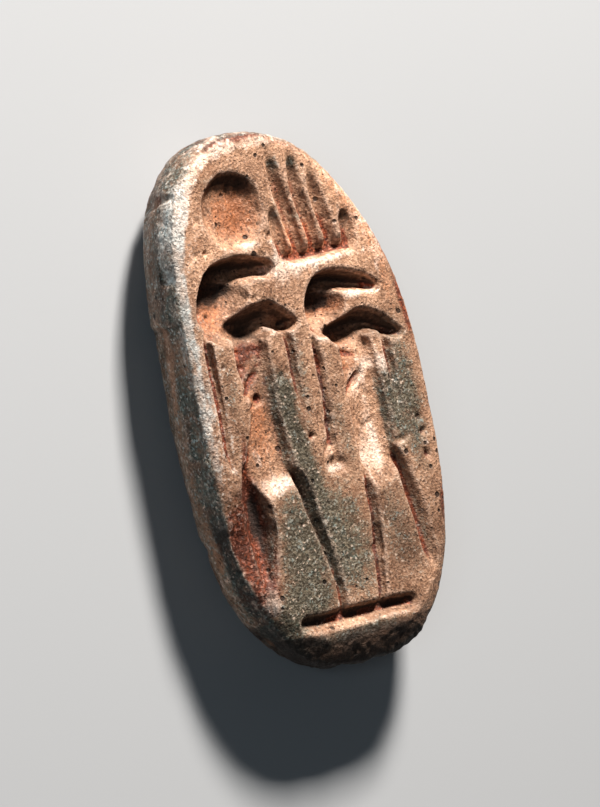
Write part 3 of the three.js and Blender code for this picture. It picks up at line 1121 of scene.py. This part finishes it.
    def carve(self, body: bpy.types.Object, relief: Relief) -> None:
        """Lower the face onto the carved map.

        Args:
            body: The plaque.
            relief: The map.
        """
        points = self.points(body)
        limit = self.plaque.thickness - relief.read(points[:, 0], points[:, 1])
        upper = points[:, 2] > self.plaque.thickness - self.plaque.side_height
        points[:, 2] = np.where(upper, np.minimum(points[:, 2], limit), points[:, 2])
        self.place(body, points)

    def weather(self, body: bpy.types.Object) -> None:
        """Round the worn rim, roughen the skin and chip it, always inwards."""
        points = self.points(body)
        face = self.plaque.thickness
        smoothed = self.pulled(body, points, 2)
        points += 0.6 * (smoothed - points)
        self.place(body, points)
        rim = smooth_step(self.plaque.reach(points), 0.86, 0.94) * smooth_step(points[:, 2], 2.4, 2.9)
        worn = self.pulled(body, points, 12)
        points += rim[:, None] * (worn - points)
        self.place(body, points)
        normals = self.normals(body)
        upward = smooth_step(normals[:, 2], 0.3, 0.8) * smooth_step(points[:, 2], 2.2, 2.6)
        sideways = 1 - upward
        resting = smooth_step(points[:, 2], 0.03, 0.3)
        swell = soft_noise(points, 2.3, 21)
        lump = soft_noise(points, 0.75, 22)
        grit = soft_noise(points, 0.24, 23)
        sand = soft_noise(points, 0.13, 24)
        scar = smooth_step(np.hypot((points[:, 0] + 5.0) / 1.4, (points[:, 1] + 5.2) / 2.9), 1.1, 0.6)
        foot = smooth_step(points[:, 1], -8.9, -9.6)
        rough = np.clip(0.25 + sideways * 0.6 + scar + foot, 0, 1.6)
        dent = (
            0.06 * (0.2 - swell) * (0.3 + sideways)
            + 0.035 * (0.2 - lump) * (0.25 + rough)
            + 0.017 * (0.2 - grit) * (0.45 + rough)
            + 0.008 * (0.2 - sand) * (0.7 + rough)
        )
        chip = smooth_step(soft_noise(points, 0.95, 31), 0.45, 0.75) * sideways * 0.1
        ledge = smooth_step(points[:, 1], 3.95, 3.65) * smooth_step(points[:, 1], -1.0, 3.0)
        chip += 0.13 * ledge * sideways * smooth_step(points[:, 0], -3.5, -4.5)
        points -= normals * ((dent + chip) * resting)[:, None]
        points[:, 2] = np.minimum(points[:, 2], face)
        self.place(body, points)

    def thin(self, body: bpy.types.Object) -> None:
        """Thin the net on the back and inside the hole, where no carving needs it."""
        triangles = 2 * len(body.data.polygons)
        bpy.ops.object.select_all(action="DESELECT")
        body.select_set(True)
        bpy.context.view_layer.objects.active = body
        bpy.ops.object.mode_set(mode="EDIT")
        bpy.ops.mesh.select_mode(type="FACE")
        bpy.ops.mesh.select_all(action="DESELECT")
        mesh = bmesh.from_edit_mesh(body.data)
        low = self.plaque.thickness - self.plaque.side_height - 0.15
        chosen = 0
        for face in mesh.faces:
            plain = face.calc_center_median().z < low
            face.select_set(plain)
            chosen += 2 * plain
        bmesh.update_edit_mesh(body.data)
        kept = max(0.12, (self.most_triangles - (triangles - chosen)) / max(chosen, 1))
        if kept < 1:
            bpy.ops.mesh.decimate(ratio=kept)
        bpy.ops.mesh.select_all(action="SELECT")
        bpy.ops.mesh.quads_convert_to_tris()
        bpy.ops.object.mode_set(mode="OBJECT")
        bpy.ops.object.shade_smooth()
        LOG.info("net: %d triangles, then %d", triangles, len(body.data.polygons))

    def paint(self, body: bpy.types.Object, relief: Relief) -> None:
        """Store where the tones, the painted highlights and the painted light and shade lie, for the finish to read.

        Args:
            body: The plaque.
            relief: The carved map.
        """
        points = self.points(body)
        normals = self.normals(body)
        x, y, z = points.T
        near = self.pulled(body, points, 4)
        far = self.pulled(body, points, 16)
        bend_near = ((points - near) * normals).sum(axis=1)
        bend_far = ((points - far) * normals).sum(axis=1)
        hollow = np.clip((self.plaque.thickness - z) / 1.05, 0, 1) * smooth_step(relief.read(x, y), 0.02, 0.25)
        face = smooth_step(z, 2.2, 2.6)
        reach = self.plaque.reach(points)
        # Painted highlight along the rim's bevel, strongest on the left and at the head.
        bevel_highlight = smooth_step(reach, 0.91, 0.945) * smooth_step(reach, 0.99, 0.965) * smooth_step(z, 2.6, 3.0)
        leftward = smooth_step(x, 1.5, -3.0) * smooth_step(y, -5.0, 1.0)
        headward = smooth_step(y, 7.0, 9.0)
        # The foot end is painted darker: painted shade where the worn foot turns away from the key lamp.
        foot_darkening = smooth_step(y + 1.3 * soft_noise(points, 1.4, 41), -8.2, -10.6)
        footward = smooth_step(y + 0.068 * x, -8.88, -9.05) * face + 0.8 * foot_darkening * (1 - face)
        shaded = smooth_step(relief.read(x, y), 0.05, 0.3) * face
        narrow = relief.read(x, y, relief.depth - relief.softened(0.3))
        # Side walls are painted darker towards the head and lighter towards the foot.
        outer = np.where(z < 2.6, 1, 0) * (0.35 * smooth_step(y, -2.0, -7.0) - 0.3 * smooth_step(y, 0.0, 5.0))
        layers = {
            "hollow": hollow,
            # Narrow cuts, which the finish paints dark red-brown: the body's red together with painted shade.
            "groove": smooth_step(narrow, 0.06, 0.18) * smooth_step(hollow, 0.75, 0.5) * smooth_step(y, 7.0, 5.0),
            "wear": smooth_step(bend_near, 0.002, 0.02) + 0.6 * smooth_step(bend_far, 0.01, 0.06),
            "crease": smooth_step(-bend_near, 0.002, 0.02) + smooth_step(-bend_far, 0.01, 0.06),
            "side": np.maximum(smooth_step(reach, 0.95, 0.99), smooth_step(z, 2.2, 1.8)),
            # Glaze, plus an olive tint on carved walls in the lower half that face away from the key lamp: painted
            # shade.
            "green": sum(patch.cover(x, y) for patch in self.tones.green) * face
            + 0.4 * shaded * smooth_step(-normals[:, 0], 0.3, 0.7) * smooth_step(y, 3.0, -1.0),
            "red": sum(patch.cover(x, y) for patch in self.tones.red) * face
            + 0.6 * headward * smooth_step(reach, 0.92, 0.96),
            "pale": sum(patch.cover(x, y) for patch in self.tones.pale) * face
            + bevel_highlight * np.clip(0.05 + 0.4 * leftward + 0.1 * headward, 0, 0.7),
            # Painted shade: the dark patches, carved walls that face away from the key lamp, deep floors that don't
            # face it, and the foot end.
            "dark": sum(patch.cover(x, y) for patch in self.tones.dark)
            + 0.8 * smooth_step(-normals[:, 1], 0.2, 0.7) * shaded
            + 0.35 * smooth_step(-normals[:, 0], 0.3, 0.8) * shaded
            + 0.7 * smooth_step(relief.read(x, y), 0.6, 0.95) * smooth_step(normals[:, 1], 0.35, 0.0)
            + 0.7 * footward,
            "ochre": sum(patch.cover(x, y) for patch in self.tones.ochre) * face,
            # Where the painted cool reflection lies: the left side, from the middle up towards the head.
            "cool_glint_area": smooth_step(x, -3.6, -5.0) * smooth_step(y, -6.0, -1.0),
            # Painted light and shade: the light patches, the side walls' grading and a brightening towards the head
            # that paints the key lamp's falloff.
            "light": 0.5 + sum(patch.cover(x, y) for patch in self.tones.light) * face + outer + 0.007 * y,
        }
        for name, values in layers.items():
            layer = body.data.attributes.new(name, "FLOAT", "POINT")
            layer.data.foreach_set("value", np.clip(values, 0, 1).astype(np.float32))


class Term:
    """A number socket that can be reckoned with; each operation adds its node."""

    def __init__(self, graph: "Graph", socket: bpy.types.NodeSocket) -> None:
        """Wrap a socket of a graph."""
        self.graph = graph
        self.socket = socket

    def _math(self, operation: str, *terms: "Term | float") -> "Term":
        """Add a Math node on terms or numbers."""
        return self.graph.node("ShaderNodeMath", {"operation": operation}, dict(enumerate(terms))).out(0)

    def __add__(self, other: "Term | float") -> "Term":
        """Add."""
        return self._math("ADD", self, other)

    __radd__ = __add__

    def __sub__(self, other: "Term | float") -> "Term":
        """Take away."""
        return self._math("SUBTRACT", self, other)

    def __rsub__(self, other: float) -> "Term":
        """Take this away from a number."""
        return self._math("SUBTRACT", other, self)

    def __mul__(self, other: "Term | float") -> "Term":
        """Multiply."""
        return self._math("MULTIPLY", self, other)

    __rmul__ = __mul__

    def clamped(self) -> "Term":
        """Keep it from 0 to 1."""
        return self.graph.node("ShaderNodeClamp", {}, {0: self, 1: 0.0, 2: 1.0}).out(0)

    def between(self, low: float, high: float) -> "Term":
        """Grade it smoothly from 0 at low to 1 at high."""
        settings = {"interpolation_type": "SMOOTHSTEP", "clamp": True}
        return self.graph.node("ShaderNodeMapRange", settings, {0: self, 1: low, 2: high, 3: 0.0, 4: 1.0}).out(0)


class Added:
    """A node that was added to a graph."""

    def __init__(self, graph: "Graph", node: bpy.types.Node) -> None:
        """Wrap a node."""
        self.graph = graph
        self.node = node

    def out(self, name: int | str) -> Term:
        """Give one of its outputs."""
        return Term(self.graph, self.node.outputs[name])


Tone = tuple[float, float, float]


class Graph:
    """A material's nodes."""

    def __init__(self, name: str) -> None:
        """Make an empty material.

        Args:
            name: The material's name.
        """
        self.material = bpy.data.materials.new(name)
        self.material.use_nodes = True
        self.tree = self.material.node_tree
        self.tree.nodes.clear()

    def node(self, kind: str, settings: dict | None = None, inputs: dict | None = None) -> Added:
        """Add a node.

        Args:
            kind: The node's type.
            settings: Its settings, which are set first.
            inputs: Values or terms for its sockets, by name or number.

        Returns:
            The added node.
        """
        made = self.tree.nodes.new(kind)
        for name, value in (settings or {}).items():
            setattr(made, name, value)
        for name, value in (inputs or {}).items():
            if isinstance(value, Term):
                self.tree.links.new(value.socket, made.inputs[name])
            else:
                made.inputs[name].default_value = value
        return Added(self, made)

    def layer(self, name: str) -> Term:
        """Read one of the piece's own layers."""
        return self.node("ShaderNodeAttribute", {"attribute_name": name}).out("Fac")

    def mix(self, share: Term, low: "Term | Tone", high: "Term | Tone") -> Term:
        """Mix two colours.

        Args:
            share: How much of the second there is.
            low: The first colour.
            high: The second colour.

        Returns:
            The mixed colour.
        """
        sockets = {0: share}
        for slot, value in ((6, low), (7, high)):
            sockets[slot] = value if isinstance(value, Term) else (*value, 1.0)
        return self.node("ShaderNodeMix", {"data_type": "RGBA"}, sockets).out(2)

    def scaled(self, colour: Term, factor: Term) -> Term:
        """Make a colour lighter or darker by a factor."""
        return self.node("ShaderNodeVectorMath", {"operation": "SCALE"}, {0: colour, "Scale": factor}).out(0)

    def noise(self, place: Term, size: float, detail: float = 3.0, offset: float = 0.0, stretch: Tone = (1, 1, 1)) -> Term:
        """Add noise.

        Args:
            place: Where it is read, in metres.
            size: Width of its swells, in millimetres.
            detail: How many finer rounds it has.
            offset: How far it is moved, so that two noises differ.
            stretch: How its three directions are scaled.

        Returns:
            Values round 0.5.
        """
        moved = self.node(
            "ShaderNodeMapping",
            {"vector_type": "POINT"},
            {"Vector": place, "Location": (offset, offset, offset), "Scale": stretch},
        ).out(0)
        inputs = {"Vector": moved, "Scale": 1 / (size * MILLIMETRE), "Detail": detail, "Roughness": 0.55}
        return self.node("ShaderNodeTexNoise", {"noise_dimensions": "3D"}, inputs).out(0)


def tone(red: int, green: int, blue: int) -> Tone:
    """Turn a display colour from 0 to 255 into a linear one."""
    shares = (value / 255 for value in (red, green, blue))
    return tuple(s / 12.92 if s <= 0.04045 else ((s + 0.055) / 1.055) ** 2.4 for s in shares)


@dataclass(frozen=True)
class WornGlaze:
    """The finish: worn blue-green glaze over a sandy body that has weathered tan, orange and red, with painted
    highlights, light and shade in its colour.
    """

    tan: Tone = tone(206, 164, 136)
    brown: Tone = tone(134, 98, 76)
    orange: Tone = tone(182, 114, 74)
    rust: Tone = tone(92, 42, 26)
    ember: Tone = tone(154, 76, 42)
    deep: Tone = tone(36, 24, 20)
    moss: Tone = tone(100, 98, 86)
    teal: Tone = tone(56, 88, 86)
    cream: Tone = tone(238, 208, 190)
    # Tone of the painted cool reflection on the left and of pale grains.
    cool_glint: Tone = tone(182, 200, 204)
    # Colour of the painted shade.
    shade_brown: Tone = tone(48, 39, 34)

    def dress(self, body: bpy.types.Object) -> None:
        """Put the finish on the amulet.

        Args:
            body: The piece, with its painted layers.
        """
        g = Graph("worn_glaze")
        place = g.node("ShaderNodeTexCoord").out("Object")
        hollow, wear, crease = g.layer("hollow"), g.layer("wear"), g.layer("crease")
        side, green, red = g.layer("side"), g.layer("green"), g.layer("red")
        pale, dark, ochre, groove = g.layer("pale"), g.layer("dark"), g.layer("ochre"), g.layer("groove")
        cool_glint_area, light = g.layer("cool_glint_area"), g.layer("light")
        blotch = g.noise(place, 1.5, 4, 0.3)
        mottle = g.noise(place, 0.45, 5, 0.7)
        speck = g.noise(place, 0.16, 5, 1.1)
        streak = g.noise(place, 0.4, 4, 2.3, (1, 0.3, 1))
        grains = g.node("ShaderNodeTexVoronoi", {"feature": "F1"}, {"Vector": place, "Scale": 1 / (0.085 * MILLIMETRE)})
        parts = g.node("ShaderNodeSeparateColor", {}, {0: grains.out("Color")})
        grain, luck, chance = parts.out(0), parts.out(1), parts.out(2)

        lightness = (blotch * 0.45 + mottle * 0.45 + speck * 0.35 - 0.12).between(0.3, 0.75)
        colour = g.mix(lightness, self.brown, self.tan)
        warmth = (ochre * 0.7 + hollow * 0.35 + mottle * 0.7 + grain * 0.2 - 0.4).between(0.25, 0.95)
        colour = g.mix(warmth * 0.85, colour, self.orange)
        bare = g.mix((streak * 0.7 + speck * 0.6 + grain * 0.2 - 0.3).between(0.3, 0.7), self.rust, self.ember)
        # Bare red body, also laid into creases and narrow grooves to paint them dark red-brown as painted shade.
        red_and_groove_shade = (red + crease * 0.3 + groove * 0.7 + hollow * 0.1 + mottle * 0.9 - 0.45).between(0.45, 1.0)
        colour = g.mix(red_and_groove_shade * 0.95, colour, bare)
        cover = green * (1 - hollow * 0.75) + side * 0.6 + mottle * 0.8 + speck * 0.5 + grain * 0.25 - 0.85
        glaze = cover.between(0.15, 0.75)
        skin = g.mix((blotch * 0.9 + speck * 0.7 + luck * 0.3 + side * 0.35 - 0.6).between(0.35, 0.75), self.moss, self.teal)
        colour = g.mix(glaze * 0.85, colour, skin)
        flakes = g.noise(place, 0.9, 4, 5.3)
        colour = g.mix((side + flakes * 1.7 + speck * 0.5 - 2.0).between(0.15, 0.45) * 0.5, colour, self.cream)
        colour = g.mix((side - flakes * 1.7 + mottle * 0.5 - 0.2).between(0.15, 0.45) * 0.7, colour, self.brown)
        # Pale crust together with painted highlights on lips and on the bevel.
        crust_and_highlight = (pale + wear * 0.15 + streak * 1.3 + speck * 0.5 - 0.95).between(0.3, 0.9)
        # On the left the pale tone turns icy: a painted cool reflection.
        pale_and_cool_glint = g.mix((cool_glint_area * 0.5 + streak * 1.6 - 0.8).clamped(), self.cream, self.cool_glint)
        colour = g.mix(crust_and_highlight * 0.8, colour, pale_and_cool_glint)
        colour = g.mix((wear * mottle - 0.2).clamped() * 0.6, colour, self.cream)
        grit = (g.noise(place, 0.1, 5, 3.1) * 0.7 + grain * 0.3).between(0.3, 0.7)
        # The light layer scales the colour lighter and darker: painted light and shade.
        colour = g.scaled(colour, (0.4 + light * 1.2) * (1 + (grit - 0.5) * (0.5 + glaze * 0.5)))
        colour = g.mix((chance * 0.7 + grit * 0.5).between(0.98, 1.15) * (0.2 + glaze * 0.35), colour, self.cream)
        # Pale grains, with a painted cool glint that is strongest on the left.
        fleck = (grain * 0.5 + speck * 0.9 + mottle * 0.6).between(1.12, 1.4)
        colour = g.mix(fleck * (0.08 + glaze * 0.15 + cool_glint_area * 0.3), colour, self.cool_glint)
        # Painted shade: the dark layer, the creases and the sides are darkened towards a shade brown, broken up by
        # noise.
        painted_shade = (dark + crease * 0.15 + side * 0.1 + blotch * 0.7 - 0.35).between(0.45, 1.1)
        colour = g.mix(painted_shade * 0.9, colour, self.shade_brown)
        freckle = (luck + speck * 0.3).between(0.28, 0.2)
        colour = g.mix(freckle * 0.5, colour, self.deep)
        # The pores are painted near-black: painted shade inside the small holes.
        pores = (self.pores(g, place, 0.55, 0.25) + self.pores(g, place, 0.22, 0.24) * (0.3 + hollow)).clamped()
        colour = g.mix(pores * 0.85, colour, self.deep)

        height = speck * 0.5 + grit * 0.5 + mottle * 0.4 - pores * 1.1
        bump = g.node("ShaderNodeBump", {}, {"Strength": 1.0, "Distance": 0.00006, "Height": height}).out(0)
        sheen = 0.6 - glaze * 0.18 - crust_and_highlight * 0.1 + painted_shade * 0.15
        shader = g.node(
            "ShaderNodeBsdfPrincipled",
            {},
            {"Base Color": colour, "Roughness": sheen.clamped(), "Normal": bump, "Specular IOR Level": 0.5},
        ).out(0)
        g.node("ShaderNodeOutputMaterial", {}, {"Surface": shader})
        body.data.materials.clear()
        body.data.materials.append(g.material)

    @staticmethod
    def pores(g: Graph, place: Term, spacing: float, largest: float) -> Term:
        """Scatter round pores of mixed sizes.

        Args:
            g: The material's nodes.
            place: Where the pattern is read.
            spacing: How far apart the pores are, in millimetres.
            largest: Radius of the largest, as a share of the spacing.

        Returns:
            1 inside a pore and 0 outside.
        """
        cells = g.node("ShaderNodeTexVoronoi", {"feature": "F1"}, {"Vector": place, "Scale": 1 / (spacing * MILLIMETRE)})
        luck = g.node("ShaderNodeSeparateColor", {}, {0: cells.out("Color")}).out(0)
        radius = luck * largest * 2 - largest
        return ((radius - cells.out("Distance")) * (3 / largest)).clamped()


@dataclass
class Studio:
    """The pale floor, the soft lights and the camera."""

    face: Vector
    swing: float = 41.0
    lift: float = 3.926
    roll: float = 12.078
    distance: float = 0.16
    lens: float = 187.2
    shift: tuple[float, float] = (-0.02279, -0.01006)
    floor_size: float = 40.0
    floor_tone: Tone = tone(180, 182, 186)

    def build(self) -> None:
        """Set up the floor, the lights and the camera."""
        self.lay_floor()
        self.light("key", Vector((0.04, 0.195, 0.125)), 0.04, 1.25, (1.0, 0.95, 0.88))
        self.light("left_fill", Vector((-0.227, 0.03, 0.197)), 0.08, 0.1, (0.78, 0.92, 1.0))
        world = bpy.data.worlds.new("room")
        world.use_nodes = True
        world.node_tree.nodes["Background"].inputs[0].default_value = (0.8, 0.85, 0.9, 1)
        world.node_tree.nodes["Background"].inputs[1].default_value = 0.038
        bpy.context.scene.world = world
        bpy.context.scene.view_settings.view_transform = "Standard"
        bpy.context.scene.view_settings.look = "Medium High Contrast"
        self.set_camera()

    def lay_floor(self) -> None:
        """Lay the floor under the amulet."""
        bpy.ops.object.select_all(action="DESELECT")
        bpy.ops.mesh.primitive_plane_add(size=self.floor_size)
        floor = bpy.context.active_object
        floor.name = "floor"
        g = Graph("floor_paint")
        place = g.node("ShaderNodeTexCoord").out("Object")
        cloud = g.noise(place, 60, 2)
        low = tuple(value * 0.96 for value in self.floor_tone)
        colour = g.mix(cloud, low, self.floor_tone)
        shader = g.node("ShaderNodeBsdfPrincipled", {}, {"Base Color": colour, "Roughness": 0.85}).out(0)
        g.node("ShaderNodeOutputMaterial", {}, {"Surface": shader})
        floor.data.materials.append(g.material)
        floor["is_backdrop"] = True

    def light(self, name: str, place: Vector, size: float, power: float, colour: Tone) -> None:
        """Hang a square lamp that looks at the face.

        Args:
            name: The lamp's name.
            place: Where it hangs, in metres.
            size: Its width, in metres.
            power: Its power, in watts.
            colour: Its colour.
        """
        lamp = bpy.data.lights.new(name, "AREA")
        lamp.size = size
        lamp.energy = power
        lamp.color = colour
        holder = bpy.data.objects.new(name, lamp)
        holder.visible_camera = False
        holder.location = self.face + place
        holder.rotation_euler = place.to_track_quat("Z", "Y").to_euler()
        bpy.context.scene.collection.objects.link(holder)

    def set_camera(self) -> None:
        """Place the camera as the photograph's was."""
        swing, lift, roll = (math.radians(value) for value in (self.swing, self.lift, self.roll))
        back = Vector((-math.sin(swing) * math.cos(lift), math.sin(lift), math.cos(swing) * math.cos(lift)))
        level = Vector((0, 1, 0)).cross(back).normalized()
        upright = back.cross(level)
        right = math.cos(roll) * level - math.sin(roll) * upright
        up = math.sin(roll) * level + math.cos(roll) * upright
        camera = bpy.data.cameras.new("camera")
        camera.lens = self.lens
        camera.sensor_width = 36
        camera.shift_x, camera.shift_y = self.shift
        camera.clip_start = 0.01
        camera.clip_end = 10
        holder = bpy.data.objects.new("camera", camera)
        turned = Matrix((right, up, back)).transposed().to_4x4()
        holder.matrix_world = Matrix.Translation(self.face + back * self.distance) @ turned
        bpy.context.scene.collection.objects.link(holder)
        bpy.context.scene.camera = holder


def corners() -> list[list[float]]:
    """Give the shown object's lowest and highest corner as plain lists."""
    return [list(corner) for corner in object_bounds()]


def settle(body: bpy.types.Object, plaque: Plaque, box: list[list[float]]) -> None:
    """Bring the body from millimetres about the drawing's middle to metres in the part's frame.

    Args:
        body: The finished body.
        plaque: Its sizes.
        box: The part's lowest and highest corner, which the body stays inside.
    """
    bpy.ops.object.select_all(action="DESELECT")
    body.select_set(True)
    bpy.context.view_layer.objects.active = body
    bpy.ops.transform.translate(value=-plaque.centre())
    bpy.ops.object.transform_apply(location=True, rotation=False, scale=False)
    bpy.ops.transform.resize(value=(MILLIMETRE,) * 3, center_override=(0, 0, 0))
    bpy.ops.object.transform_apply(location=True, rotation=False, scale=True)
    points = Amulet.points(body)
    low, high = np.array(box[0]), np.array(box[1])
    own_low, own_high = points.min(axis=0), points.max(axis=0)
    fitted = low + (points - own_low) * (high - low) / (own_high - own_low)
    Amulet.place(body, np.clip(fitted, low, high))


def main() -> None:
    """Build the amulet and its studio."""
    logging.basicConfig(level=logging.INFO, format="%(message)s")
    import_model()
    cad_box = corners()
    amulet = Amulet()
    body = amulet.build()
    settle(body, amulet.plaque, cad_box)
    WornGlaze().dress(body)
    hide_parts("seal_amulet")
    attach(body, "root")
    LOG.info("%s: %d faces", body.name, len(body.data.polygons))
    face = -amulet.plaque.centre() * MILLIMETRE + Vector((0, 0, amulet.plaque.thickness * MILLIMETRE))
    Studio(face).build()
    LOG.info("studio: floor, two lamps, camera")


if __name__ == "__main__":
    main()
